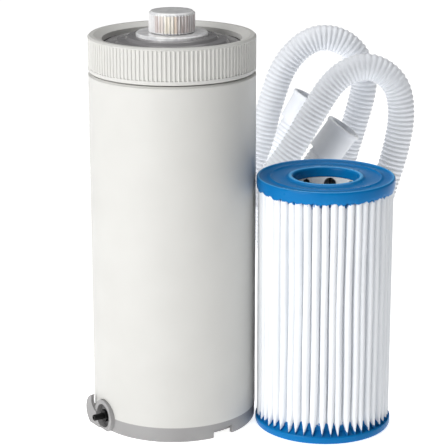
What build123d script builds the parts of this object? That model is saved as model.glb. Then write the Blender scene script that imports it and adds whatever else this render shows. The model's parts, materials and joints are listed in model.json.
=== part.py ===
"""Pump water filter: an upright cartridge canister with a pump in its foot, the
cartridge that it takes, and its two corrugated hoses.

The origin is on the canister's axis at floor level.  +Z is up, the front is -Y,
the cartridge stands on the +X side and the hoses are behind, at +Y.
"""

import os

from build123d import *
from math import cos, pi, radians, sin, tan

# ---------------------------------------------------------------- driving sizes
tank_d = 130.0
tank_wall = 3.0
foot_top_z = 12.0
floor_z = 62.0
floor_t = 3.0
shoulder_z = 282.5
neck_r = 59.5
neck_wall = 2.7
neck_top_z = 297.5
rim_z = 311.5

thread_pitch = 6.0
thread_height = 1.6
thread_turns = 1.5

knob_d = 36.0
knob_h = 15.7
knob_rib_count = 42
collar_rib_count = 120

boss_d = 26.0
boss_z = 11.2
boss_rim_w = 3.5
power_azimuth = 213.0
drain_azimuth = 145.0
power_boss_reach = 67.0
notch_azimuth = 308.0
notch_w = 18.6
notch_h = 7.0
drain_boss_reach = 70.0
guard_d = 27.0
guard_shift = 12.0
guard_t = 2.6

filter_d = 108.0
filter_h = 203.0
filter_hole_d = 51.0
filter_x = 119.2
filter_y = -15.0
cap_t = 8.0

hose_d = 24.0
hose_bore = 19.0
cuff_d = 29.0
cuff_bore = 25.0
cuff_len = 40.0
cuff_socket = 34.0
free_cuff_len = 28.0
free_cuff_socket = 22.0
spigot_d = 24.6
port_face_y = 68.0
port_flange_t = 3.5
port_end_y = 109.5
cuff_start_y = 76.0

supply_port = (22.0, 92.0)
return_port = (-17.0, 48.2)

tank_r = tank_d / 2
bore_r = tank_r - tank_wall
deck_z = floor_z + floor_t
shaft_r = 1.5

# The route of each hose, from its cuff on the canister to its free cuff.
return_route = [
    (-17, 116, 48.2), (-17, 150, 48.2), (-5, 192, 57), (22, 222, 82), (50, 240, 118),
    (71, 245, 158), (82, 245, 204), (95, 245, 243), (122, 245, 267), (154, 245, 260),
    (170, 245, 229), (162, 246, 193), (152, 248, 158), (143, 251, 120), (137, 254, 82),
    (132, 259, 46), (119, 284, 13), (99, 319, 13), (81, 346, 42), (81, 350, 84),
    (87, 350, 125), (108.4, 350, 164),
]
supply_route = [
    (22, 116, 92), (22, 142, 92), (30, 172, 101), (52, 190, 119), (76, 198, 139),
    (99, 200, 168), (118, 200, 203), (139, 200, 238), (167, 200, 250), (193, 200, 234),
    (199, 200, 204), (193, 199, 168), (183, 198, 136), (174, 197, 100), (168, 191, 50),
    (146, 168, 13), (114, 135, 13), (89, 111, 50), (87, 110, 102), (98, 110, 152),
    (125, 110, 190.3),
]

os.makedirs("parts", exist_ok=True)


# --------------------------------------------------------------------- helpers
def save(part, name):
    """Labels a finished piece and writes it as one STEP file."""
    part.label = name
    export_step(part, f"parts/{name}.step")


def revolved(points):
    """Turns a closed outline of (radius, height) points about the Z axis."""
    with BuildPart() as turned:
        with BuildSketch(Plane.XZ):
            with BuildLine():
                Polyline(*points, close=True)
            make_face()
        revolve(axis=Axis.Z)
    return turned.part


def radial_plane(azimuth, reach, height):
    """A plane across the radius at this azimuth, facing outwards."""
    out = (cos(radians(azimuth)), sin(radians(azimuth)), 0)
    origin = (out[0] * reach, out[1] * reach, height)
    return Plane(origin=origin, x_dir=(-out[1], out[0], 0), z_dir=out)


def helical_ridge(radius, height, start_z, inward=False):
    """A trapezoid ridge wound on a cylinder: the thread of the collar."""
    depth = -height if inward else height
    root = 0.3 if inward else -0.3
    with BuildPart() as ridge:
        with BuildLine(Plane.XY.offset(start_z)) as path:
            Helix(pitch=thread_pitch, height=thread_pitch * thread_turns, radius=radius)
        start = path.line @ 0
        with BuildSketch(Plane(origin=start, x_dir=(1, 0, 0), z_dir=path.line % 0)):
            with BuildLine():
                Polyline((root, -1.5), (root, 1.5), (depth, 0.7), (depth, -0.7), close=True)
            make_face()
        sweep(path=path.line, is_frenet=True)
    return ridge.part


def torus_ring(centre, axis, mean_r, section_r):
    """An O-ring about the given axis."""
    with BuildPart() as ring:
        with BuildSketch(Plane.XZ):
            with Locations((mean_r, 0)):
                Circle(section_r)
        revolve(axis=Axis.Z)
    return ring.part.moved(Plane(origin=centre, z_dir=axis).location)


# ------------------------------------------------------------------ tank_shell
duct_reach = 47.3
duct_foot = radial_plane(drain_azimuth, duct_reach, 0).origin
with BuildPart() as tank_shell:
    add(revolved([
        (tank_r, foot_top_z), (tank_r, shoulder_z - 1.5), (tank_r - 1.5, shoulder_z),
        (neck_r, shoulder_z), (neck_r, shoulder_z - 6), (bore_r, shoulder_z - 11), (bore_r, foot_top_z),
    ]))
    for port_x, port_z in (supply_port, return_port):
        with BuildSketch(Plane(origin=(port_x, port_face_y, port_z), x_dir=(1, 0, 0), z_dir=(0, -1, 0))):
            Circle(17)
        extrude(amount=24)
    with BuildSketch(Plane.XY.offset(foot_top_z)):
        Circle(bore_r)
    extrude(amount=shoulder_z - 11 - foot_top_z, mode=Mode.SUBTRACT)
    for port_x, port_z in (supply_port, return_port):
        with BuildSketch(Plane(origin=(port_x, port_face_y, port_z), x_dir=(1, 0, 0), z_dir=(0, -1, 0))):
            Circle(13)
        extrude(amount=24, mode=Mode.SUBTRACT)
        with BuildSketch(Plane(origin=(port_x, port_face_y, port_z), x_dir=(1, 0, 0), z_dir=(0, -1, 0))):
            Circle(15.6)
        extrude(amount=2.3, mode=Mode.SUBTRACT)
    for azimuth in (power_azimuth, drain_azimuth):
        with BuildSketch(radial_plane(azimuth, 50, boss_z)):
            Circle(boss_d / 2 + 0.25)
        extrude(amount=30, mode=Mode.SUBTRACT)
save(tank_shell.part, "tank_shell")

with BuildPart() as tank_neck:
    add(revolved([
        (neck_r, shoulder_z - 6), (neck_r, neck_top_z), (neck_r - neck_wall, neck_top_z),
        (neck_r - neck_wall, shoulder_z - 6),
    ]))
    add(helical_ridge(neck_r, thread_height, shoulder_z + 4))
save(tank_neck.part, "tank_neck")

with BuildPart() as tank_deck:
    with BuildSketch(Plane.XY.offset(floor_z)):
        Circle(bore_r)
        Circle(13.6, mode=Mode.SUBTRACT)
    extrude(amount=floor_t)
    with BuildSketch(Plane.XY.offset(59.5)):
        with PolarLocations(39.5, 4, start_angle=45):
            Circle(4.5)
    extrude(amount=floor_z - 59.5)
    with BuildSketch(Plane.XY.offset(59.5)):
        with PolarLocations(39.5, 4, start_angle=45):
            Circle(1.5)
        with Locations((duct_foot.X, duct_foot.Y)):
            Circle(4.8)
    extrude(amount=floor_t + 2.5, mode=Mode.SUBTRACT)
save(tank_deck.part, "tank_deck")

# ------------------------------------------------------------------- base_foot
ledge_r = 54.0
screw_ring_r = 57.0
screw_start = 10.0
inlet_recess = 3.0
guard_plane = radial_plane(power_azimuth, 50, boss_z)
with BuildPart() as inlet_guard:
    with BuildSketch(guard_plane):
        with Locations((-guard_shift, 0)):
            Circle(guard_d / 2)
        with Locations((3.5 - guard_shift, 9)):
            Circle(8.5, mode=Mode.SUBTRACT)
    extrude(amount=power_boss_reach + 1 - 50)
    with BuildSketch(guard_plane):
        with Locations((-guard_shift, foot_top_z - boss_z + 15)):
            Rectangle(60, 30)
    extrude(amount=power_boss_reach + 1 - guard_t - 50, mode=Mode.SUBTRACT)
    with BuildSketch(Plane.XY.offset(-5)):
        Circle(bore_r - 0.4)
    extrude(amount=foot_top_z + 5, mode=Mode.SUBTRACT)
    with BuildSketch(Plane.XY.offset(foot_top_z)):
        Circle(tank_r + 0.2)
    extrude(amount=30, mode=Mode.SUBTRACT)

with BuildPart() as base_foot:
    add(revolved([
        (tank_r - 0.4, 1), (tank_r - 0.4, foot_top_z), (bore_r - 0.4, foot_top_z),
        (bore_r - 0.4, 20), (bore_r - 3.2, 20), (bore_r - 3.2, 8.5), (ledge_r, 8.5), (ledge_r, 5.5),
        (tank_r - 4, 5.5), (tank_r - 4, 0), (tank_r - 1, 0),
    ]))
    add(inlet_guard.part)
    for azimuth, reach in ((power_azimuth, power_boss_reach), (drain_azimuth, drain_boss_reach)):
        with BuildSketch(radial_plane(azimuth, 54, boss_z)):
            Circle(boss_d / 2)
        extrude(amount=reach - 54)
        with BuildSketch(radial_plane(azimuth, reach + 3, boss_z)):
            Circle(boss_d / 2 - boss_rim_w)
        extrude(amount=-5, mode=Mode.SUBTRACT)
    with BuildSketch(radial_plane(power_azimuth, 50, boss_z)):
        Circle(7)
    extrude(amount=20, mode=Mode.SUBTRACT)
    with BuildSketch(radial_plane(power_azimuth, power_boss_reach, boss_z)):
        Circle(boss_d / 2 - boss_rim_w)
    extrude(amount=-inlet_recess - 2.5, mode=Mode.SUBTRACT)
    with BuildSketch(radial_plane(drain_azimuth, 50, boss_z)):
        Circle(7.3)
    extrude(amount=24, mode=Mode.SUBTRACT)
    with BuildSketch(Plane.XY.offset(4.25)):
        with PolarLocations(screw_ring_r, 4, start_angle=screw_start):
            Circle(1.3)
    extrude(amount=4.5, mode=Mode.SUBTRACT)
    with BuildSketch(radial_plane(notch_azimuth, 56, notch_h / 2)):
        Rectangle(notch_w, notch_h)
    extrude(amount=12, mode=Mode.SUBTRACT)
    split(bisect_by=Plane.XY, keep=Keep.TOP)
save(base_foot.part, "base_foot")

# ------------------------------------------------------------------ base_plate
plate_r = tank_r - 4.4
with BuildPart() as base_plate:
    with BuildSketch(Plane.XY.offset(3)):
        Circle(plate_r)
        with PolarLocations(screw_ring_r, 4, start_angle=screw_start):
            Circle(1.5, mode=Mode.SUBTRACT)
        with PolarLocations(28, 8, start_angle=22.5):
            SlotOverall(16, 3, mode=Mode.SUBTRACT)
    extrude(amount=2.5)
    for azimuth in (power_azimuth, drain_azimuth):
        with BuildSketch(radial_plane(azimuth, ledge_r - 1, boss_z)):
            Circle(boss_d / 2 + 0.3)
        extrude(amount=20, mode=Mode.SUBTRACT)
save(base_plate.part, "base_plate")

with BuildPart() as foot_pads:
    with BuildSketch():
        with PolarLocations(46, 4, start_angle=45):
            Circle(5)
    extrude(amount=3)
    chamfer(foot_pads.edges().filter_by(GeomType.CIRCLE).group_by(Axis.Z)[0], length=0.5)
save(foot_pads.part, "foot_pads")


def screw_set(spots, head_z, length, head_r=2.6, head_t=1.8, shank_r=1.25):
    """Pan-head screws driven upwards, one solid for each spot, with cross slots."""
    with BuildPart() as screws:
        for spot_x, spot_y in spots:
            with BuildSketch(Plane.XY.offset(head_z)):
                with Locations((spot_x, spot_y)):
                    Circle(head_r)
            extrude(amount=head_t)
            with BuildSketch(Plane.XY.offset(head_z + head_t)):
                with Locations((spot_x, spot_y)):
                    Circle(shank_r)
            extrude(amount=length)
            with BuildSketch(Plane.XY.offset(head_z)):
                with Locations((spot_x, spot_y)):
                    Rectangle(head_r * 1.2, 0.6)
                    Rectangle(0.6, head_r * 1.2)
            extrude(amount=head_t / 2, mode=Mode.SUBTRACT)
    return screws.part


def polar_spots(radius, count, start):
    """The (x, y) places of a ring of fasteners."""
    turns = [radians(start + 360 * step / count) for step in range(count)]
    return [(radius * cos(turn), radius * sin(turn)) for turn in turns]


save(screw_set(polar_spots(screw_ring_r, 4, screw_start), 1.2, 5), "base_screws")

# ----------------------------------------------------------------- lock_collar
collar_bottom_z = shoulder_z + 1.1
collar_bore_r = neck_r + thread_height + 0.5
flange_z = neck_top_z + 2.9
collar_lip_z = flange_z + 4.1
with BuildPart() as lock_collar:
    add(revolved([
        (tank_r - 0.9, collar_bottom_z), (tank_r, collar_bottom_z + 0.9), (tank_r, collar_bottom_z + 3),
        (tank_r - 0.9, collar_bottom_z + 3.4), (tank_r - 0.9, rim_z - 2.2), (tank_r, rim_z - 1.9),
        (tank_r, rim_z - 1.3), (tank_r - 1.3, rim_z), (60.5, rim_z), (54, rim_z - 3), (54, collar_lip_z),
        (collar_bore_r, collar_lip_z), (collar_bore_r, collar_bottom_z),
    ]))
    with BuildSketch(Plane.XY.offset(collar_bottom_z + 3)):
        with PolarLocations(tank_r - 0.9, collar_rib_count):
            Circle(0.9)
    extrude(amount=rim_z - 2 - collar_bottom_z - 3)
    add(helical_ridge(collar_bore_r, 1.5, shoulder_z + 4 + thread_pitch / 2, inward=True))
save(lock_collar.part, "lock_collar")

# ------------------------------------------------------------------- top_cover
vent_z = flange_z + 10.1
cover_outline = [
    (61, 0), (61, 3.6), (53, 3.6), (50.5, 5.1), (44, 5.1), (42.5, 7.3), (36, 7.7), (34.5, 9.7),
    (30, 10.1), (9, 10.1), (9, 7.5), (33, 7.1), (34.6, 5.1), (41, 4.7), (42.4, 2.6), (48.5, 2.6),
    (51.5, 0),
]
with BuildPart() as top_cover:
    add(revolved([(radius, flange_z + rise) for radius, rise in cover_outline]))
save(top_cover.part, "top_cover")

save(torus_ring((0, 0, neck_top_z + 1.6), (0, 0, 1), 58.1, 1.3), "cover_oring")

# ------------------------------------------------------------- hold_down_tube
tube_r = filter_hole_d / 2 - 0.6
with BuildPart() as hold_down_tube:
    add(revolved([
        (0, 262), (tube_r, 262), (tube_r, 269), (34, 269), (34, 271.5), (tube_r, 271.5),
        (tube_r, flange_z + 7.1), (tube_r - 2.4, flange_z + 7.1), (tube_r - 2.4, 264.5), (0, 264.5),
    ]))
    with BuildSketch(Plane(origin=(0, 40, 300), x_dir=(1, 0, 0), z_dir=(0, -1, 0))):
        Circle(5)
    extrude(amount=80, mode=Mode.SUBTRACT)
save(hold_down_tube.part, "hold_down_tube")

# --------------------------------------------------------------- vent assembly
seat_z = vent_z + 2.5
with BuildPart() as vent_seat:
    add(revolved([
        (28, vent_z), (28, vent_z + 1.6), (27, seat_z), (15.2, seat_z), (15.2, seat_z + 6.5),
        (13.4, seat_z + 6.5), (13.4, seat_z), (10, seat_z), (10, seat_z + 4.5),
        (7.6, seat_z + 4.5), (7.6, vent_z),
    ]))
save(vent_seat.part, "vent_seat")

knob_r = knob_d / 2
knob_bottom_z = seat_z + 0.8
knob_top_z = knob_bottom_z + knob_h
with BuildPart() as vent_knob:
    add(revolved([
        (knob_r - 0.6, knob_bottom_z), (knob_r - 0.6, knob_top_z - 1.2), (knob_r - 1.8, knob_top_z),
        (0, knob_top_z), (0, knob_top_z - 3), (15.8, knob_top_z - 3), (15.8, knob_bottom_z),
    ]))
    with BuildSketch(Plane.XY.offset(knob_bottom_z)):
        with PolarLocations(knob_r - 0.7, knob_rib_count):
            Circle(0.75)
    extrude(amount=knob_top_z - 1.5 - knob_bottom_z)
save(vent_knob.part, "vent_knob")

with BuildPart() as vent_stem:
    add(revolved([
        (0, vent_z - 3), (3.8, vent_z - 3), (4.5, vent_z - 2), (4.5, seat_z + 5.5),
        (6.5, seat_z + 5.5), (6.5, knob_top_z - 5.2), (12, knob_top_z - 5.2),
        (12, knob_top_z - 3), (0, knob_top_z - 3),
    ]))
save(vent_stem.part, "vent_stem")

save(torus_ring((0, 0, seat_z + 2.2), (0, 0, 1), 6.05, 1.25), "vent_oring")

# -------------------------------------------------------------- cartridge_seat
with BuildPart() as cartridge_seat:
    add(revolved([
        (34, deck_z), (34, deck_z + 2.2), (tube_r, deck_z + 2.2), (tube_r, 84), (tube_r - 1, 85),
        (tube_r - 2.4, 85), (tube_r - 2.4, deck_z + 2.2), (13.7, deck_z + 2.2), (13.7, deck_z),
    ]))
    with BuildSketch(Plane.XY.offset(82)):
        Rectangle(2 * tube_r - 3, 2)
        Rectangle(2, 2 * tube_r - 3)
        with Locations((0, 0)):
            Circle(12)
            Circle(10, mode=Mode.SUBTRACT)
        Rectangle(2 * tube_r - 3, 2)
        Rectangle(2, 2 * tube_r - 3)
    extrude(amount=2)
save(cartridge_seat.part, "cartridge_seat")

# ------------------------------------------------------------------ pump parts
with BuildPart() as volute_cover:
    add(revolved([
        (35, 57), (35, 59.5), (13.2, 59.5), (13.2, 76), (10.6, 76), (10.6, 57),
    ]))
    with BuildSketch(Plane.XY.offset(57)):
        with PolarLocations(37.5, 4, start_angle=45):
            Rectangle(8, 9)
        with PolarLocations(39.5, 4, start_angle=45):
            Circle(4.5)
    extrude(amount=2.5)
    with BuildSketch(Plane.XY.offset(57)):
        Circle(5.6)
        for turn in (0, 60, 120):
            Rectangle(22.5, 2, rotation=turn)
        Circle(4, mode=Mode.SUBTRACT)
    extrude(amount=2.5)
    with BuildSketch(Plane.XY.offset(59.4)):
        Circle(5.6)
    extrude(amount=1.6)
    with BuildSketch(Plane.XY.offset(57)):
        with PolarLocations(39.5, 4, start_angle=45):
            Circle(1.6)
    extrude(amount=2.5, mode=Mode.SUBTRACT)
save(volute_cover.part, "volute_cover")

return_x, return_z = return_port
with BuildPart() as volute_housing:
    with BuildSketch(Plane.XY.offset(38)):
        Circle(40)
    extrude(amount=2.5)
    with BuildSketch(Plane.XY.offset(38)):
        Circle(27.5)
        with PolarLocations(36.5, 3, start_angle=30):
            Circle(3.2)
    extrude(amount=12)
    with BuildSketch(Plane.XY.offset(38)):
        Circle(27.5)
    extrude(amount=19)
    with BuildSketch(Plane(origin=(return_x, 0, return_z), x_dir=(1, 0, 0), z_dir=(0, 1, 0))):
        Circle(8.5)
    extrude(amount=58)
    with BuildSketch(Plane.XY.offset(40.5)):
        Circle(24.5)
    extrude(amount=16.5, mode=Mode.SUBTRACT)
    with BuildSketch(Plane.XY.offset(38)):
        Circle(12.8)
    extrude(amount=3, mode=Mode.SUBTRACT)
    with BuildSketch(Plane(origin=(return_x, 0, return_z), x_dir=(1, 0, 0), z_dir=(0, 1, 0))):
        Circle(6.5)
    extrude(amount=58, mode=Mode.SUBTRACT)
    with BuildSketch(Plane.XY.offset(38)):
        with PolarLocations(36.5, 3, start_angle=30):
            Circle(1.3)
    extrude(amount=9, mode=Mode.SUBTRACT)
save(volute_housing.part, "volute_housing")

with BuildPart() as impeller:
    add(revolved([
        (shaft_r + 0.08, 12), (2.6, 12), (2.6, 36.6), (5, 37.4), (5, 43), (20, 43), (20, 45), (6, 45),
        (4.4, 52), (shaft_r + 0.08, 52),
    ]))
    with BuildSketch(Plane.XY.offset(44.8)):
        with PolarLocations(12.2, 6):
            Rectangle(14.5, 1.6, rotation=28)
    extrude(amount=6.4)
save(impeller.part, "impeller")

with BuildPart() as rotor_magnet:
    with BuildSketch(Plane.XY.offset(12.4)):
        Circle(10.3)
        Circle(2.6, mode=Mode.SUBTRACT)
    extrude(amount=24)
    chamfer(rotor_magnet.edges().filter_by(GeomType.CIRCLE).sort_by(SortBy.RADIUS)[-2:], length=0.6)
save(rotor_magnet.part, "rotor_magnet")

with BuildPart() as rotor_shaft:
    with BuildSketch(Plane.XY.offset(8.2)):
        Circle(shaft_r)
    extrude(amount=50.6)
save(rotor_shaft.part, "rotor_shaft")

with BuildPart() as shaft_bushes:
    with BuildSketch(Plane.XY.offset(8.2)):
        Circle(4)
        Circle(shaft_r, mode=Mode.SUBTRACT)
    extrude(amount=3)
    with BuildSketch(Plane.XY.offset(55.2)):
        Circle(4)
        Circle(shaft_r, mode=Mode.SUBTRACT)
    extrude(amount=4)
save(shaft_bushes.part, "shaft_bushes")

with BuildPart() as rotor_can:
    add(revolved([
        (0, 7.2), (12, 7.2), (12, 36), (40, 36), (40, 38), (11, 38), (11, 8.2), (0, 8.2),
    ]))
    with BuildSketch(Plane.XY.offset(36)):
        with PolarLocations(36.5, 3, start_angle=30):
            Circle(1.5)
    extrude(amount=2, mode=Mode.SUBTRACT)
save(rotor_can.part, "rotor_can")

stator_bottom_z = 14.0
stator_h = 18.0
pole_count = 6
with BuildPart() as stator_core:
    with BuildSketch(Plane.XY.offset(stator_bottom_z)):
        Circle(33)
        Circle(26, mode=Mode.SUBTRACT)
        with PolarLocations(19.8, pole_count):
            Rectangle(14, 5)
        with PolarLocations(13.6, pole_count):
            Rectangle(1.8, 9)
        Circle(12.4, mode=Mode.SUBTRACT)
    extrude(amount=stator_h)
save(stator_core.part, "stator_core")

with BuildPart() as stator_coils:
    with BuildSketch(Plane.XY.offset(stator_bottom_z - 3)):
        with PolarLocations(20.2, pole_count):
            Rectangle(8.4, 10.6)
    extrude(amount=stator_h + 6)
    with BuildSketch(Plane.XY.offset(stator_bottom_z - 0.1)):
        with PolarLocations(20.2, pole_count):
            Rectangle(12, 5.2)
    extrude(amount=stator_h + 0.2, mode=Mode.SUBTRACT)
save(stator_coils.part, "stator_coils")

with BuildPart() as motor_housing:
    add(revolved([
        (0, 5.7), (35.5, 5.7), (35.5, 33), (40, 33), (40, 36), (33.2, 36), (33.2, 7), (0, 7),
    ]))
    with BuildSketch(Plane.XY.offset(33)):
        with PolarLocations(36.5, 3, start_angle=30):
            Circle(1.5)
    extrude(amount=3, mode=Mode.SUBTRACT)
    with BuildSketch(Plane.XY.offset(29.9)):
        with PolarLocations(36.5, 3, start_angle=30):
            Circle(3)
    extrude(amount=3.1, mode=Mode.SUBTRACT)
save(motor_housing.part, "motor_housing")

save(screw_set(polar_spots(36.5, 3, 30), 31.1, 12), "motor_screws")
save(screw_set(polar_spots(39.5, 4, 45), 55.1, 6.5), "deck_screws")
save(torus_ring((0, 0, 60.75), (0, 0, 1), 17, 1.25), "deck_seal")

# ----------------------------------------------------------------- power inlet
with BuildPart() as inlet_disc:
    with BuildSketch(radial_plane(power_azimuth, power_boss_reach - inlet_recess - 2.5, boss_z)):
        Circle(boss_d / 2 - boss_rim_w - 0.1)
        Circle(4.1, mode=Mode.SUBTRACT)
    extrude(amount=2.5)
save(inlet_disc.part, "inlet_disc")

inlet_face = power_boss_reach - inlet_recess
pin_r = 2.5
pin_len = 9.0
with BuildPart() as inlet_connector:
    with BuildSketch(radial_plane(power_azimuth, inlet_face - 12, boss_z)):
        Circle(4)
    extrude(amount=12)
    with BuildSketch(radial_plane(power_azimuth, inlet_face, boss_z)):
        RegularPolygon(5, 6)
    extrude(amount=2.5)
    with BuildSketch(radial_plane(power_azimuth, inlet_face + 2.5, boss_z)):
        Circle(pin_r)
    extrude(amount=pin_len)
    with BuildSketch(radial_plane(power_azimuth, inlet_face + 2.5 + pin_len, boss_z)):
        Circle(1.1)
    extrude(amount=-5, mode=Mode.SUBTRACT)
    outward = Axis((0, 0, 0), radial_plane(power_azimuth, 1, 0).z_dir)
    tip_edges = inlet_connector.faces().sort_by(outward)[-1].edges()
    fillet(tip_edges.sort_by(SortBy.LENGTH)[-1], 0.8)
save(inlet_connector.part, "inlet_connector")

lead_r = 1.6
lead_out = radial_plane(power_azimuth, inlet_face - 12, boss_z).origin
lead_turn = radial_plane(power_azimuth, 45, boss_z).origin
lead_route = [(-26.4, -23.75, 20), (-30.5, -27.4, 19.5), tuple(lead_turn), tuple(lead_out)]
with BuildPart() as motor_lead:
    with BuildLine() as lead_path:
        FilletPolyline(*lead_route, radius=3)
    with BuildSketch(Plane(origin=lead_route[0], z_dir=lead_path.line % 0)):
        Circle(lead_r)
    sweep(path=lead_path.line)
save(motor_lead.part, "motor_lead")

# ------------------------------------------------------------------ drain side
with BuildPart() as drain_duct:
    with BuildSketch(Plane.XY.offset(8)):
        with Locations((duct_foot.X, duct_foot.Y)):
            Circle(6.2)
    extrude(amount=floor_z - 8)
    with BuildSketch(radial_plane(drain_azimuth, duct_reach, boss_z)):
        Circle(5.6)
    extrude(amount=56 - duct_reach)
    with BuildSketch(radial_plane(drain_azimuth, 54.6, boss_z)):
        Circle(7.1)
    extrude(amount=1.4)
    with BuildSketch(Plane.XY.offset(9.2)):
        with Locations((duct_foot.X, duct_foot.Y)):
            Circle(4.8)
    extrude(amount=floor_z - 9.2, mode=Mode.SUBTRACT)
    with BuildSketch(radial_plane(drain_azimuth, duct_reach, boss_z)):
        Circle(4)
    extrude(amount=56 - duct_reach, mode=Mode.SUBTRACT)
save(drain_duct.part, "drain_duct")

plug_face = drain_boss_reach - 0.6
with BuildPart() as drain_plug:
    with BuildSketch(radial_plane(drain_azimuth, plug_face, boss_z)):
        Circle(boss_d / 2 - boss_rim_w - 0.4)
    extrude(amount=-1.1)
    with BuildSketch(radial_plane(drain_azimuth, plug_face - 1.1, boss_z)):
        Circle(5.2)
    extrude(amount=-12)
    with BuildSketch(radial_plane(drain_azimuth, plug_face, boss_z)):
        Rectangle(13, 2)
    extrude(amount=-0.7, mode=Mode.SUBTRACT)
    with BuildSketch(radial_plane(drain_azimuth, plug_face - 9, boss_z)):
        Circle(6.9)
    extrude(amount=-4.1)
save(drain_plug.part, "drain_plug")
drain_axis = radial_plane(drain_azimuth, plug_face - 5, boss_z)
save(torus_ring(drain_axis.origin, drain_axis.z_dir, 6.25, 0.75), "drain_oring")


# ----------------------------------------------------------------- hose ports
def port_plane(port, y):
    """A plane across a port's axis, facing backwards."""
    return Plane(origin=(port[0], y, port[1]), x_dir=(1, 0, 0), z_dir=(0, 1, 0))


def hose_port(port, inner_y):
    """A flanged spigot with barbs, from inside the wall to the cuff's socket."""
    with BuildPart() as body:
        with BuildSketch(port_plane(port, inner_y)):
            Circle(12.6)
        extrude(amount=port_face_y - inner_y)
        with BuildSketch(port_plane(port, port_face_y)):
            Circle(16.6)
            with PolarLocations(19, 2):
                Circle(4)
            Rectangle(38, 8)
            with PolarLocations(19, 2):
                Circle(1.6, mode=Mode.SUBTRACT)
        extrude(amount=port_flange_t)
        with BuildSketch(port_plane(port, port_face_y + port_flange_t)):
            Circle(spigot_d / 2)
        extrude(amount=port_end_y - port_face_y - port_flange_t)
        with BuildSketch(port_plane(port, inner_y)):
            Circle(hose_bore / 2)
        extrude(amount=port_end_y - inner_y, mode=Mode.SUBTRACT)
    return body.part


save(hose_port(supply_port, 58.0), "supply_port")
save(hose_port(return_port, 58.0), "return_port")


seal_rings = [torus_ring((x, port_face_y - 1.15, z), (0, 1, 0), 14.1, 1.1)
              for x, z in (supply_port, return_port)]
save(Compound(children=seal_rings), "port_orings")


def port_screw(port, side):
    """One screw through a port's ear into the boss on the tank."""
    centre = (port[0] + side * 19, port_face_y + port_flange_t, port[1])
    with BuildPart() as screw:
        with BuildSketch(Plane(origin=centre, x_dir=(1, 0, 0), z_dir=(0, 1, 0))):
            Circle(2.8)
        extrude(amount=1.8)
        with BuildSketch(Plane(origin=centre, x_dir=(1, 0, 0), z_dir=(0, 1, 0))):
            Circle(1.4)
        extrude(amount=-port_flange_t - 0.1)
    return screw.part


save(Compound(children=[port_screw(port, side) for port in (supply_port, return_port)
                        for side in (-1, 1)]), "port_screws")


# ------------------------------------------------------------ cuffs and clamps
def hose_cuff(tip, direction, length, socket):
    """A moulded cuff: its socket opens at the tip and its back takes the hose."""
    mouth = Plane(origin=tip, z_dir=-Vector(*direction))
    back = Plane(origin=Vector(*tip) - Vector(*direction) * length, z_dir=direction)
    with BuildPart() as cuff:
        with BuildSketch(mouth):
            Circle(cuff_d / 2)
        extrude(amount=length)
        with BuildSketch(mouth):
            Circle(cuff_d / 2 + 1)
        extrude(amount=3)
        chamfer(cuff.faces().sort_by(Axis((0, 0, 0), direction))[-1].edges(), length=0.6)
        with BuildSketch(mouth):
            Circle(cuff_bore / 2)
        extrude(amount=socket, mode=Mode.SUBTRACT)
        with BuildSketch(back):
            Circle(hose_bore / 2)
        extrude(amount=length, mode=Mode.SUBTRACT)
    return cuff.part


for name, port in (("supply", supply_port), ("return", return_port)):
    cuff = hose_cuff((port[0], cuff_start_y, port[1]), (0, -1, 0), cuff_len, cuff_socket)
    save(cuff, f"{name}_cuff_pump")
for name, route in (("supply", supply_route), ("return", return_route)):
    way = (Vector(*route[-1]) - Vector(*route[-2])).normalized()
    tip = Vector(*route[-1]) + way * free_cuff_len
    save(hose_cuff(tip, tuple(way), free_cuff_len, free_cuff_socket), f"{name}_cuff_free")

clamp_y = 86.0
clamp_w = 9.0
clamp_r = cuff_d / 2 + 0.1
screw_z = clamp_r + 4.3


def clamp_band(port):
    """A worm-drive band with its screw housing on top."""
    with BuildPart() as band:
        with BuildSketch(port_plane(port, clamp_y)):
            Circle(clamp_r + 0.9)
            Circle(clamp_r, mode=Mode.SUBTRACT)
        extrude(amount=clamp_w)
        with BuildSketch(Plane(origin=(port[0] - 6, clamp_y + clamp_w / 2, port[1] + screw_z),
                               x_dir=(0, 1, 0), z_dir=(1, 0, 0))):
            Rectangle(clamp_w, 8.4)
        extrude(amount=12)
        with BuildSketch(Plane(origin=(port[0] - 6, clamp_y + clamp_w / 2, port[1] + screw_z),
                               x_dir=(0, 1, 0), z_dir=(1, 0, 0))):
            Circle(3.2)
        extrude(amount=12, mode=Mode.SUBTRACT)
    return band.part


def clamp_screw(port):
    """The worm screw with a slotted hexagon head."""
    centre = (port[0] - 9, clamp_y + clamp_w / 2, port[1] + screw_z)
    with BuildPart() as screw:
        with BuildSketch(Plane(origin=centre, x_dir=(0, 1, 0), z_dir=(1, 0, 0))):
            Circle(2.9)
        extrude(amount=16)
        with BuildSketch(Plane(origin=(centre[0] + 15.4, centre[1], centre[2]),
                               x_dir=(0, 1, 0), z_dir=(1, 0, 0))):
            RegularPolygon(3.6, 6)
        extrude(amount=3.6)
        with BuildSketch(Plane(origin=(centre[0] + 19, centre[1], centre[2]),
                               x_dir=(0, 1, 0), z_dir=(1, 0, 0))):
            Rectangle(7.5, 1)
        extrude(amount=-1.2, mode=Mode.SUBTRACT)
    return screw.part


for name, port in (("supply", supply_port), ("return", return_port)):
    save(clamp_band(port), f"{name}_clamp_band")
    save(clamp_screw(port), f"{name}_clamp_screw")


# ----------------------------------------------------------------------- hoses
def corner_radii(route):
    """The largest tangent arc that each corner's two runs leave room for."""
    points = [Vector(*point) for point in route]
    radii = []
    for before, corner, after in zip(points, points[1:], points[2:]):
        first = corner - before
        second = after - corner
        turn = radians(first.get_angle(second))
        radii.append(0.45 * min(first.length, second.length) / tan(turn / 2))
    return radii


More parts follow.
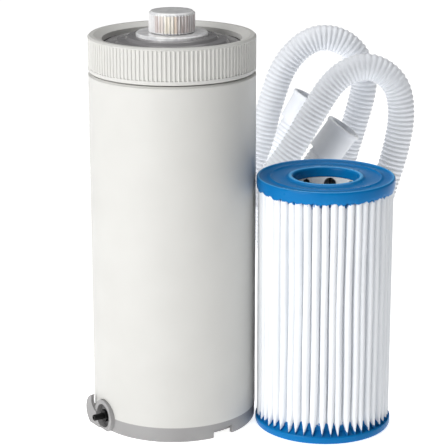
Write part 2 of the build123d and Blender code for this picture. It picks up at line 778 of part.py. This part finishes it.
def hose(route, name):
    """A plain tube along straight runs joined by tangent arcs."""
    radii = corner_radii(route)
    with BuildPart() as tube:
        with BuildLine() as path:
            FilletPolyline(*route, radius=radii)
        with BuildSketch(Plane(origin=route[0], z_dir=path.line % 0)):
            Circle(hose_d / 2)
            Circle(hose_bore / 2, mode=Mode.SUBTRACT)
        sweep(path=path.line)
    section = pi * (hose_d ** 2 - hose_bore ** 2) / 4
    length = sum(edge.length for edge in path.edges())
    print(name, "radii", [round(radius) for radius in radii])
    print(name, "length", round(length), "volume", round(tube.part.volume),
          "section x length", round(section * length))
    save(tube.part, name)


hose(supply_route, "supply_hose")
hose(return_route, "return_hose")

# ------------------------------------------------------------------- cartridge
filter_r = filter_d / 2
hole_r = filter_hole_d / 2
media_r = filter_r - 1.5
core_wall = 2.2
at_filter = Location((filter_x, filter_y, 0))

with BuildPart() as cartridge_top_cap:
    add(revolved([
        (hole_r, filter_h - cap_t), (hole_r, filter_h - 1.2), (hole_r + 1.2, filter_h),
        (hole_r + 4, filter_h), (hole_r + 5, filter_h - 1.4), (42, filter_h - 1.4), (43, filter_h - 0.8),
        (filter_r - 4, filter_h - 0.8), (filter_r - 3, filter_h), (filter_r - 1, filter_h),
        (filter_r, filter_h - 1), (filter_r, filter_h - cap_t),
    ]))
save(cartridge_top_cap.part.moved(at_filter), "cartridge_top_cap")

with BuildPart() as cartridge_bottom_cap:
    add(revolved([
        (hole_r, 0.6), (hole_r, cap_t), (filter_r, cap_t), (filter_r, 1), (filter_r - 1, 0),
        (filter_r - 4, 0), (filter_r - 5, 1.2), (hole_r + 5, 1.2), (hole_r + 4, 0), (hole_r + 0.6, 0),
    ]))
save(cartridge_bottom_cap.part.moved(at_filter), "cartridge_bottom_cap")

pleat_count = 48
pleat_root_r = hole_r + core_wall + 0.9
sheet_t = 0.6


def pleat_points():
    """One zigzag line round the core: two points at each fold, in and out."""
    points = []
    for pleat in range(pleat_count):
        for radius, shift in ((pleat_root_r, -0.12), (pleat_root_r, 0.12), (media_r, 0.38), (media_r, 0.62)):
            turn = 2 * pi * (pleat + shift) / pleat_count
            points.append((radius * cos(turn), radius * sin(turn)))
    return points


with BuildPart() as pleated_media:
    with BuildSketch(Plane.XY.offset(cap_t)):
        with BuildLine():
            Polyline(*pleat_points(), close=True)
        make_face()
        offset(amount=-sheet_t, mode=Mode.SUBTRACT)
    extrude(amount=filter_h - 2 * cap_t)
save(pleated_media.part.moved(at_filter), "pleated_media")

hole_rows = 9
hole_columns = 8
row_step = (filter_h - 2 * cap_t) / hole_rows
with BuildPart() as cartridge_core:
    with BuildSketch(Plane.XY.offset(cap_t)):
        Circle(hole_r + core_wall)
        Circle(hole_r, mode=Mode.SUBTRACT)
    extrude(amount=filter_h - 2 * cap_t)
    for row in range(hole_rows):
        for column in range(hole_columns // 2):
            turn = 360 * (column + 0.5 * (row % 2)) / hole_columns + 34
            height = cap_t + row_step * (row + 0.5) + 4.9
            with BuildSketch(radial_plane(turn, -hole_r - 4, height)):
                Circle(5)
            extrude(amount=2 * hole_r + 8, mode=Mode.SUBTRACT)
save(cartridge_core.part.moved(at_filter), "cartridge_core")
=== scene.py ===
"""Visual model of a pump water filter: materials for the CAD parts, and meshes for the
corrugated hoses, the pleated filter cartridge and its potted end caps."""

import json
import math
import random

import bmesh
import bpy
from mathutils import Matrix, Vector


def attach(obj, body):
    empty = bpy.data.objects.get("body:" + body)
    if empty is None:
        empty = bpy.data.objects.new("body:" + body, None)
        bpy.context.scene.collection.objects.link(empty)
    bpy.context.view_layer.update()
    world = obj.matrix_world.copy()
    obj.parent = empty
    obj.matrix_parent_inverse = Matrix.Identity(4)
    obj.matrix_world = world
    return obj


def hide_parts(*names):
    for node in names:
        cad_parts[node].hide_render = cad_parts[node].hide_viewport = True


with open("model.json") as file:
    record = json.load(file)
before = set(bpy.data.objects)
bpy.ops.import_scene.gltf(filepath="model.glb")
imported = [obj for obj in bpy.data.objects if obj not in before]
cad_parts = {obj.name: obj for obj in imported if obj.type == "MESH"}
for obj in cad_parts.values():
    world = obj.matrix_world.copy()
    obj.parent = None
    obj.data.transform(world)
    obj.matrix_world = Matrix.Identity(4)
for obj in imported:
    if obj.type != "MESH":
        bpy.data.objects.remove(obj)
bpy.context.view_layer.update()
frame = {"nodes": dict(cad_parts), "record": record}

scene = bpy.context.scene
scene.view_settings.view_transform = "Standard"
MM = 0.001
TURN = 2 * math.pi

# ------------------------------------------------------------------- camera
camera_data = bpy.data.cameras.new("camera")
camera_data.sensor_width = 36.0
camera_data.lens = 147.8
camera = bpy.data.objects.new("camera", camera_data)
camera.location = (0.040, -1.4, 0.558)
camera.rotation_euler = (math.radians(90 - 15.9), 0, 0)
scene.collection.objects.link(camera)
scene.camera = camera


# ------------------------------------------------------------ mesh helpers
def add_piece(name, vertices, faces, material, body, sharp=40):
    """A smooth-shaded mesh in millimetres that rides on a body."""
    mesh = bpy.data.meshes.new(name)
    mesh.from_pydata([[c * MM for c in v] for v in vertices], [], faces)
    work = bmesh.new()
    work.from_mesh(mesh)
    bmesh.ops.recalc_face_normals(work, faces=work.faces)
    work.to_mesh(mesh)
    work.free()
    mesh.shade_smooth()
    mesh.set_sharp_from_angle(angle=math.radians(sharp))
    mesh.materials.append(material)
    piece = bpy.data.objects.new(name, mesh)
    scene.collection.objects.link(piece)
    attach(piece, body)
    return piece


def bridge(rings, closed):
    """Quads between rings of equally many vertex numbers."""
    faces = []
    count = len(rings[0])
    for a, b in zip(rings, rings[1:] + (rings[:1] if closed else [])):
        for i in range(count):
            j = (i + 1) % count
            faces.append((a[i], a[j], b[j], b[i]))
    return faces


def lathe(profile, segments, centre, change=None):
    """A closed outline of (radius, height) points turned about an upright axis."""
    vertices, rings = [], []
    for step in range(segments):
        turn = TURN * step / segments
        ring = []
        for index, (radius, height) in enumerate(profile):
            if change:
                radius, height = change(index, radius, height, turn)
            ring.append(len(vertices))
            vertices.append((centre[0] + radius * math.cos(turn),
                             centre[1] + radius * math.sin(turn), height))
        rings.append(ring)
    return vertices, bridge(rings, True)


def eased(low, high, value):
    """0 below low, 1 above high, and an S between them."""
    t = min(max((value - low) / (high - low), 0), 1)
    return t * t * (3 - 2 * t)


# --------------------------------------------------------------- materials
def new_shader(name, base, sockets):
    """A Principled material; an underscore in a socket's name stands for a space."""
    material = bpy.data.materials.new(name)
    material.use_nodes = True
    shader = material.node_tree.nodes["Principled BSDF"]
    shader.inputs["Base Color"].default_value = (*base, 1)
    for socket, value in sockets.items():
        shader.inputs[socket.replace("_", " ")].default_value = value
    return material, material.node_tree, shader


def object_place(tree):
    return tree.nodes.new("ShaderNodeTexCoord").outputs["Object"]


def stretched(tree, vector, scale):
    """The place scaled along each axis: below 1 draws the noise out along it."""
    node = tree.nodes.new("ShaderNodeMapping")
    node.inputs["Scale"].default_value = scale
    tree.links.new(vector, node.inputs["Vector"])
    return node.outputs["Vector"]


def along(tree, vector, axis):
    """One coordinate of a place, by the axis's name."""
    node = tree.nodes.new("ShaderNodeSeparateXYZ")
    tree.links.new(vector, node.inputs[0])
    return node.outputs[axis]


def combine(tree, operation, first, second):
    node = tree.nodes.new("ShaderNodeMath")
    node.operation = operation
    tree.links.new(first, node.inputs[0])
    tree.links.new(second, node.inputs[1])
    return node.outputs[0]


def raise_grain(tree, shader, height, strength, depth):
    """Bump from a height value, depth in millimetres."""
    node = tree.nodes.new("ShaderNodeBump")
    node.inputs["Strength"].default_value = strength
    node.inputs["Distance"].default_value = depth * MM
    tree.links.new(height, node.inputs["Height"])
    tree.links.new(node.outputs["Normal"], shader.inputs["Normal"])


def noise(tree, vector, scale, detail=2.0):
    node = tree.nodes.new("ShaderNodeTexNoise")
    node.inputs["Scale"].default_value = scale
    node.inputs["Detail"].default_value = detail
    tree.links.new(vector, node.inputs["Vector"])
    return node.outputs["Fac"]


def spread(tree, value, low, high, start=0.3, end=0.7):
    """Maps a value from start to end onto low to high."""
    node = tree.nodes.new("ShaderNodeMapRange")
    node.inputs["From Min"].default_value = start
    node.inputs["From Max"].default_value = end
    node.inputs["To Min"].default_value = low
    node.inputs["To Max"].default_value = high
    tree.links.new(value, node.inputs["Value"])
    return node.outputs["Result"]


def blend_colours(tree, factor, first, second):
    """A mix of two colours, each a tuple or a socket."""
    node = tree.nodes.new("ShaderNodeMix")
    node.data_type = "RGBA"
    tree.links.new(factor, node.inputs[0])
    for socket, colour in ((node.inputs[6], first), (node.inputs[7], second)):
        if isinstance(colour, tuple):
            socket.default_value = (*colour, 1)
        else:
            tree.links.new(colour, socket)
    return node.outputs[2]


def surface(name, light, dark, rough, blotch=30, grain=900, bump=0.15, depth=0.1,
            stretch=(1, 1, 1), rough_spread=0.05, **sockets):
    """Mottled colour, uneven gloss and a fine raised grain, all from noise."""
    material, tree, shader = new_shader(name, light, sockets)
    vector = stretched(tree, object_place(tree), stretch)
    broad = noise(tree, vector, blotch, 3)
    fine = noise(tree, vector, grain, 2)
    colour = blend_colours(tree, spread(tree, broad, 0, 1), light, dark)
    tree.links.new(colour, shader.inputs["Base Color"])
    tree.links.new(spread(tree, broad, rough - rough_spread, rough + rough_spread),
                   shader.inputs["Roughness"])
    raise_grain(tree, shader, fine, bump, depth)
    return material


def fabric_surface(name, cloth, shade, potting):
    """Pleated polyester, with the blue potting wicked into its ends."""
    material, tree, shader = new_shader(name, cloth, {
        "Roughness": 0.85, "Sheen Weight": 0.15, "Specular IOR Level": 0.3})
    vector = object_place(tree)
    broad = noise(tree, stretched(tree, vector, (1, 1, 0.25)), 90, 4)
    fibre = noise(tree, vector, 1600, 3)
    wick = noise(tree, vector, 420, 3)
    stain = tree.nodes.new("ShaderNodeAttribute")
    stain.attribute_name = "stain"
    edge = combine(tree, "ADD", stain.outputs["Fac"], spread(tree, wick, -0.9, 0.9))
    wetted = spread(tree, edge, 0, 1, -0.35, 0.35)
    plain = blend_colours(tree, spread(tree, broad, 0, 1), cloth, shade)
    tree.links.new(blend_colours(tree, wetted, plain, potting), shader.inputs["Base Color"])
    raise_grain(tree, shader, fibre, strength=0.35, depth=0.12)
    return material


KNOB_R = 18.0
KNOB_LOW, KNOB_HIGH = 313.9, 327.6


def vent_surface_painted_refraction(name):
    """Clear plastic with painted refraction: bright and dark streaks of the amber stem seen
    through the knob's ribs, and grey swirls, are painted into its colour.
    """
    material, tree, shader = new_shader(name, (0.9, 0.9, 0.9), {
        "Roughness": 0.12, "Transmission Weight": 0.06, "IOR": 1.46, "Coat Weight": 0.4})
    place = object_place(tree)
    upright = stretched(tree, place, (1, 1, 0.04))
    across = spread(tree, along(tree, place, "X"), 0, 1, -KNOB_R * MM, KNOB_R * MM)
    wander = spread(tree, noise(tree, upright, 420, 3), -0.1, 0.1)
    # Painted refraction: a ramp of pale and dark streaks across the knob along X, the amber
    # stem as seen through the ribs.
    painted_streak_ramp = tree.nodes.new("ShaderNodeValToRGB")
    painted_streak_stops = [(0.1, (0.93, 0.92, 0.92)), (0.2, (0.62, 0.5, 0.47)), (0.3, (0.93, 0.87, 0.8)),
             (0.44, (0.97, 0.9, 0.74)), (0.56, (0.8, 0.66, 0.56)), (0.64, (0.9, 0.82, 0.79)),
             (0.72, (0.22, 0.15, 0.13)), (0.8, (0.85, 0.76, 0.74)), (0.9, (0.7, 0.6, 0.6)),
             (0.97, (0.93, 0.91, 0.91))]
    for share, colour in painted_streak_stops[:-2]:
        painted_streak_ramp.color_ramp.elements.new(share)
    for element, (share, colour) in zip(painted_streak_ramp.color_ramp.elements, painted_streak_stops):
        element.position = share
        element.color = (*colour, 1)
    tree.links.new(combine(tree, "ADD", across, wander), painted_streak_ramp.inputs["Fac"])
    height = along(tree, place, "Z")
    on_ribs = combine(tree, "MULTIPLY",
                      spread(tree, height, 0, 1, KNOB_LOW * MM, (KNOB_LOW + 0.7) * MM),
                      spread(tree, height, 1, 0, (KNOB_HIGH - 0.6) * MM, KNOB_HIGH * MM))
    strength = spread(tree, noise(tree, upright, 900, 2), 0.35, 1, 0.4, 0.6)
    painted_streak_mask = combine(tree, "MULTIPLY", on_ribs, strength)
    # Painted refraction: grey swirls over the clear plastic's colour.
    painted_swirl = noise(tree, place, 150, 2)
    clear = blend_colours(tree, spread(tree, painted_swirl, 0, 1, 0.45, 0.6), (0.98, 0.98, 0.98),
                          (0.82, 0.82, 0.84))
    colour = blend_colours(tree, painted_streak_mask, clear, painted_streak_ramp.outputs["Color"])
    tree.links.new(colour, shader.inputs["Base Color"])
    return material


def painted_crest_highlight(material, low, high, colour):
    """Painted highlight: lets the plastic turn paler where a bead on it stands highest, in
    place of the light the bead catches.
    """
    tree = material.node_tree
    shader = tree.nodes["Principled BSDF"]
    plain = shader.inputs["Base Color"].links[0].from_socket
    height = along(tree, object_place(tree), "Z")
    highlight_share = spread(tree, height, 0, 1, low * MM, high * MM)
    tree.links.new(blend_colours(tree, highlight_share, plain, colour), shader.inputs["Base Color"])


BLUE = (0.002, 0.175, 0.46)
look = {
    "white_plastic": surface("white_plastic", (0.63, 0.625, 0.60), (0.61, 0.605, 0.58), 0.42,
                             grain=1500, bump=0.06, depth=0.05),
    "grey_plastic": surface("grey_plastic", (0.34, 0.335, 0.335), (0.31, 0.305, 0.305), 0.5,
                            grain=1300, bump=0.2, depth=0.06),
    "dark_plastic": surface("dark_plastic", (0.10, 0.098, 0.10), (0.075, 0.074, 0.076), 0.42,
                            grain=1300, bump=0.2, depth=0.06),
    "black_plastic": surface("black_plastic", (0.007, 0.007, 0.007), (0.004, 0.004, 0.004),
                             0.5, grain=1300, bump=0.2, depth=0.06, Specular_IOR_Level=0.2),
    "black_rubber": surface("black_rubber", (0.022, 0.022, 0.022), (0.014, 0.014, 0.014), 0.7,
                            grain=1700, bump=0.4, depth=0.08),
    "screw_steel": surface("screw_steel", (0.62, 0.62, 0.63), (0.5, 0.5, 0.51), 0.3,
                           grain=1200, bump=0.15, depth=0.04, stretch=(1, 1, 8), Metallic=1.0),
    "clamp_steel": surface("clamp_steel", (0.68, 0.68, 0.69), (0.55, 0.55, 0.57), 0.28,
                           grain=900, bump=0.2, depth=0.04, stretch=(1, 12, 1), Metallic=1.0),
    "shaft_ceramic": surface("shaft_ceramic", (0.83, 0.83, 0.8), (0.76, 0.76, 0.73), 0.25),
    "core_steel": surface("core_steel", (0.4, 0.4, 0.42), (0.3, 0.29, 0.29), 0.45,
                          stretch=(1, 1, 30), grain=400, bump=0.5, Metallic=1.0),
    "copper_winding": surface("copper_winding", (0.72, 0.3, 0.12), (0.5, 0.18, 0.07), 0.35,
                              stretch=(1, 1, 25), grain=300, bump=0.7, depth=0.2, Metallic=1.0),
    "hose_plastic": surface("hose_plastic", (0.87, 0.895, 0.94), (0.83, 0.855, 0.90), 0.45,
                            blotch=60, grain=500, bump=0.08, depth=0.06,
                            Specular_IOR_Level=0.4, Sheen_Weight=0.3),
    "smoked_plastic": surface("smoked_plastic", (0.25, 0.245, 0.25), (0.23, 0.225, 0.23), 0.22,
                              blotch=12, grain=1400, bump=0.01, depth=0.01, rough_spread=0.02,
                              Coat_Weight=0.3, IOR=1.5),
    "clear_plastic": vent_surface_painted_refraction("clear_plastic"),
    "amber_plastic": surface("amber_plastic", (0.72, 0.50, 0.28), (0.6, 0.4, 0.2), 0.22,
                             grain=1200, bump=0.05, Transmission_Weight=0.3),
    "magnet": surface("magnet", (0.11, 0.11, 0.115), (0.08, 0.08, 0.085), 0.55, bump=0.3),
    "blue_urethane": surface("blue_urethane", BLUE, (0.001, 0.155, 0.44), 0.3, blotch=45,
                             grain=700, bump=0.1, depth=0.08,
                             Specular_IOR_Level=0.12),
    "filter_fabric": fabric_surface("filter_fabric", (0.88, 0.90, 0.93), (0.84, 0.865, 0.90),
                                    BLUE),
    "core_plastic": surface("core_plastic", (0.93, 0.94, 0.95), (0.88, 0.9, 0.92), 0.4,
                            Specular_IOR_Level=0.4),
}

# Painted highlight along the top cap's highest bead crests.
painted_crest_highlight(look["blue_urethane"], 202.5, 203.0, (0.10, 0.42, 0.78))

for part in frame["record"]["subparts"]:
    for place in frame["nodes"][part["node"]].material_slots:
        place.material = look[part["material_slot"]]

# ------------------------------------------------------------------- hoses
HOSE_D = 24.0
RIB_PITCH = 4.0
RIB_DEPTH = 0.85
routes = {
    "return": [
        (-17, 116, 48.2), (-17, 150, 48.2), (-5, 192, 57), (22, 222, 82), (50, 240, 118),
        (71, 245, 158), (82, 245, 204), (95, 245, 243), (122, 245, 267), (154, 245, 260),
        (170, 245, 229), (162, 246, 193), (152, 248, 158), (143, 251, 120), (137, 254, 82),
        (132, 259, 46), (119, 284, 13), (99, 319, 13), (81, 346, 42), (81, 350, 84),
        (87, 350, 125), (108.4, 350, 164),
    ],
    "supply": [
        (22, 116, 92), (22, 142, 92), (30, 172, 101), (52, 190, 119), (76, 198, 139),
        (99, 200, 168), (118, 200, 203), (139, 200, 238), (167, 200, 250), (193, 200, 234),
        (199, 200, 204), (193, 199, 168), (183, 198, 136), (174, 197, 100), (168, 191, 50),
        (146, 168, 13), (114, 135, 13), (89, 111, 50), (87, 110, 102), (98, 110, 152),
        (125, 110, 190.3),
    ],
}


def spline_points(name, route):
    """Points of one NURBS spline that has the route as its control points."""
    data = bpy.data.curves.new(name, "CURVE")
    data.dimensions = "3D"
    data.resolution_u = 40
    spline = data.splines.new("NURBS")
    spline.points.add(len(route) - 1)
    for point, place in zip(spline.points, route):
        point.co = (*[c * MM for c in place], 1)
    spline.order_u = 3
    spline.use_endpoint_u = True
    guide = bpy.data.objects.new(name, data)
    scene.collection.objects.link(guide)
    bpy.context.view_layer.update()
    line = bpy.data.meshes.new_from_object(guide)
    points = [vertex.co / MM for vertex in line.vertices]
    bpy.data.objects.remove(guide)
    bpy.data.meshes.remove(line)
    return points


def evenly(points, step):
    """(place, direction) pairs about a step apart down a line of points."""
    lengths = [0.0]
    for a, b in zip(points, points[1:]):
        lengths.append(lengths[-1] + (b - a).length)
    count = round(lengths[-1] / step)
    places, index = [], 0
    for number in range(count + 1):
        distance = lengths[-1] * number / count
        while index < len(points) - 2 and lengths[index + 1] < distance:
            index += 1
        share = (distance - lengths[index]) / max(lengths[index + 1] - lengths[index], 1e-9)
        places.append(points[index].lerp(points[index + 1], share))
    reach = 3  # places each side that a direction is taken across
    pairs = []
    for number, place in enumerate(places):
        ahead = places[min(number + reach, count)]
        behind = places[max(number - reach, 0)]
        pairs.append((place, (ahead - behind).normalized()))
    return pairs


def corrugated_tube(line, outer_r, root_r, pitch, samples=8, segments=40):
    """A tube of rounded rings across a line, closed at both ends."""
    pairs = evenly(line, pitch / samples)
    side = pairs[0][1].orthogonal().normalized()
    vertices, rings = [], []
    for number, (place, way) in enumerate(pairs):
        side = (side - way * side.dot(way)).normalized()
        other = way.cross(side)
        wave = 0.5 + 0.5 * math.cos(TURN * number / samples)
        radius = root_r + (outer_r - root_r) * wave ** 0.8
        if number < samples or number > len(pairs) - 1 - samples:
            radius = root_r
        ring = []
        for step in range(segments):
            turn = TURN * step / segments
            ring.append(len(vertices))
            vertices.append(place + (side * math.cos(turn) + other * math.sin(turn)) * radius)
        rings.append(ring)
    faces = bridge(rings, False)
    faces += [tuple(reversed(rings[0])), tuple(rings[-1])]
    return vertices, faces


for name, route in routes.items():
    line = spline_points(f"{name}_guide", route)
    vertices, faces = corrugated_tube(line, HOSE_D / 2, HOSE_D / 2 - RIB_DEPTH, RIB_PITCH)
    hose = add_piece(f"{name}_hose_tube", vertices, faces, look["hose_plastic"], "canister",
                     sharp=80)
    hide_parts(f"{name}_hose")

# --------------------------------------------------------------- cartridge
FILTER = (119.2, -15.0)
PLEATS = 48
FILTER_H = 203.0
BOTTOM_POT, TOP_POT = 6.0, 195.0
VALLEY_R = 47.2
CLOTH_T = 0.45


def climb(radius):
    """How far the potting rises up the pleats, more in the valleys than at the rim."""
    return 9.0 * eased(52.8, 45.0, radius)


def pleated_media():
    """Folded cloth round the core: each fold is a fin with a rounded tip, pinched where
    it enters the caps, and no two are quite alike."""
    draw = random.Random(48)
    fins = [
        {
            "turn": TURN * (k + 0.5 + draw.uniform(-0.1, 0.1)) / PLEATS,
            "half": draw.uniform(2.3, 2.8),
            "lean": draw.uniform(-0.6, 0.6),
            "phase": draw.uniform(0, TURN),
            "wet_low": draw.uniform(0.3, 2.6),
            "wet_high": draw.uniform(0.2, 3.2),
        }
        for k in range(PLEATS)
    ]
    outline = [(-0.93, 47.8), (-0.98, 48.4), (-1, 49.4), (-0.93, 50.8), (-0.6, 52.1), (0, 52.6),
               (0.6, 52.1), (0.93, 50.8), (1, 49.4), (0.98, 48.4), (0.93, 47.8)]
    sway_from, sway_to = 34, 53
    low = [4.6, 6.0, 7.5, 9.0, 10.8, 12.8, 15.2, 18.2, 22.0, 27.0, 34.0]
    high = [FILTER_H - z for z in reversed(low)]
    steps = 10
    heights = low + [low[-1] + (high[0] - low[-1]) * i / steps for i in range(1, steps)] + high
    vertices, rings, stains = [], [], []
    for height in heights:
        ring = []
        share = (height - heights[0]) / (heights[-1] - heights[0])
        low_pinch = 0.08 + 0.92 * eased(0.5, 17, height - heights[0])
        pinch = low_pinch * (0.75 + 0.25 * eased(0, 8, heights[-1] - height))
        for k, fin in enumerate(fins):
            turn = fin["turn"]
            half = fin["half"] * pinch
            sway = fin["lean"] * math.sin(math.pi * share) + 0.25 * math.sin(
                TURN * 1.5 * share + fin["phase"]) * pinch
            after = fins[(k + 1) % PLEATS]["turn"] + (TURN if k == PLEATS - 1 else 0)
            spots = [(turn, radius, part * half + sway * eased(sway_from, sway_to, radius))
                     for part, radius in outline]
            spots.append(((turn + after) / 2, VALLEY_R, 0.0))
            for angle, radius, across in spots:
                ring.append(len(vertices))
                vertices.append((
                    FILTER[0] + radius * math.cos(angle) - across * math.sin(angle),
                    FILTER[1] + radius * math.sin(angle) + across * math.cos(angle),
                    height))
                wet_low = BOTTOM_POT + climb(radius) + fin["wet_low"] - height
                wet_high = height - TOP_POT + 0.5 * climb(radius) + fin["wet_high"]
                stains.append(max(min(max(wet_low, wet_high) / 1.6, 3), -3))
        rings.append(ring)
    return vertices, bridge(rings, False), stains


vertices, faces, stains = pleated_media()
media = add_piece("pleats", vertices, faces, look["filter_fabric"], "cartridge",
                  sharp=75)
stain_layer = media.data.attributes.new("stain", "FLOAT", "POINT")
stain_layer.data.foreach_set("value", stains)
thickness = media.modifiers.new("cloth", "SOLIDIFY")
thickness.thickness = CLOTH_T * MM
thickness.offset = 0
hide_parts("pleated_media")

draw = random.Random(203)
teeth = [draw.uniform(0, 1) for _ in range(PLEATS * 3)]  # three to a fold


def ragged(turn):
    """An uneven edge, from 0 to 1, round the cartridge."""
    spot = turn / TURN * len(teeth)
    first = int(spot) % len(teeth)
    return teeth[first] + (teeth[(first + 1) % len(teeth)] - teeth[first]) * (spot % 1)


top_profile = [
    (25.5, 195.4), (25.5, 201.0), (25.75, 202.0), (26.5, 202.75), (27.4, 203.0), (28.6, 202.95),
    (29.5, 202.5), (30.2, 201.9), (31.2, 201.65), (41.4, 201.6), (42.1, 201.8), (42.7, 202.35),
    (43.4, 202.6), (44.1, 202.35), (44.8, 201.95), (46, 201.85), (50.2, 201.9), (51.2, 202.2),
    (51.9, 202.75), (52.6, 203.0), (53.3, 202.75), (53.8, 202.1), (54, 201.2), (54, 197.0),
    (53.75, 195.6), (53.1, 194.6), (52.2, 194.6), (50, 194.3), (47, 194.1), (40, 194.0),
    (27.8, 194.0), (27.8, 195.2),
]


def top_edge(index, radius, height, turn):
    """The top cap's rim ends in uneven drips: points 24 to 26 of its outline."""
    if 23 < index < 27:
        height -= (2.6 if index > 24 else 1.2) * ragged(turn)
    return radius, height


bottom_profile = [
    (26.1, 0.0), (30, 0.0), (31, 1.1), (49, 1.1), (50, 0.0), (52.6, 0.0), (53.6, 0.35),
    (54, 1.3), (54, 5.0), (53.75, 5.8), (53.2, 6.1), (52.75, 5.8), (52.5, 5.5), (51.6, 5.9),
    (50.2, 6.9), (48.6, 8.2), (46.5, 9.8), (43, 11.0), (36, 11.8), (28.2, 12.2), (27.7, 12.0),
    (27.7, 8.0), (25.5, 8.0), (25.5, 0.8),
]


def bottom_edge(index, radius, height, turn):
    """The potting has crept up unevenly between the folds at the bottom."""
    if 12 < index < 20:
        height += 1.6 * (ragged(turn) - 0.5) * eased(52.5, 48.0, radius)
    return radius, height


for name, profile, change in (("top", top_profile, top_edge),
                              ("bottom", bottom_profile, bottom_edge)):
    vertices, faces = lathe(profile, PLEATS * 6, FILTER, change)
    cap = add_piece(f"{name}_cap_potted", vertices, faces, look["blue_urethane"],
                    "cartridge", sharp=50)
    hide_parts(f"cartridge_{name}_cap")

# ---------------------------------------------------------- floor and light
floor_mesh = bpy.data.meshes.new("floor")
floor_mesh.from_pydata([(-6, -6, 0), (6, -6, 0), (6, 8, 0), (-6, 8, 0)], [], [(0, 1, 2, 3)])
floor = bpy.data.objects.new("floor", floor_mesh)
floor.location.z = -0.1 * MM  # just clear of the feet
scene.collection.objects.link(floor)
floor_look, _, _ = new_shader("pale_floor", (0.93, 0.93, 0.93), {
    "Roughness": 0.9, "Emission Color": (1, 1, 1, 1), "Emission Strength": 0.72})
floor_mesh.materials.append(floor_look)

world = bpy.data.worlds.new("studio")
world.use_nodes = True
world.node_tree.nodes["Background"].inputs["Color"].default_value = (1, 1, 1, 1)
world.node_tree.nodes["Background"].inputs["Strength"].default_value = 0.06
scene.world = world


def soft_light(name, place, target, size, power):
    """A square light that faces a target."""
    data = bpy.data.lights.new(name, "AREA")
    data.size = size
    data.energy = power
    lamp = bpy.data.objects.new(name, data)
    lamp.location = place
    lamp.rotation_euler = (Vector(target) - Vector(place)).to_track_quat("-Z", "Y").to_euler()
    scene.collection.objects.link(lamp)


soft_light("key", (-1.5, -1.6, 1.1), (0.05, 0, 0.15), 1.4, 42)
soft_light("overhead", (0.2, 0.6, 2.4), (0.05, 0.2, 0), 2.2, 34)
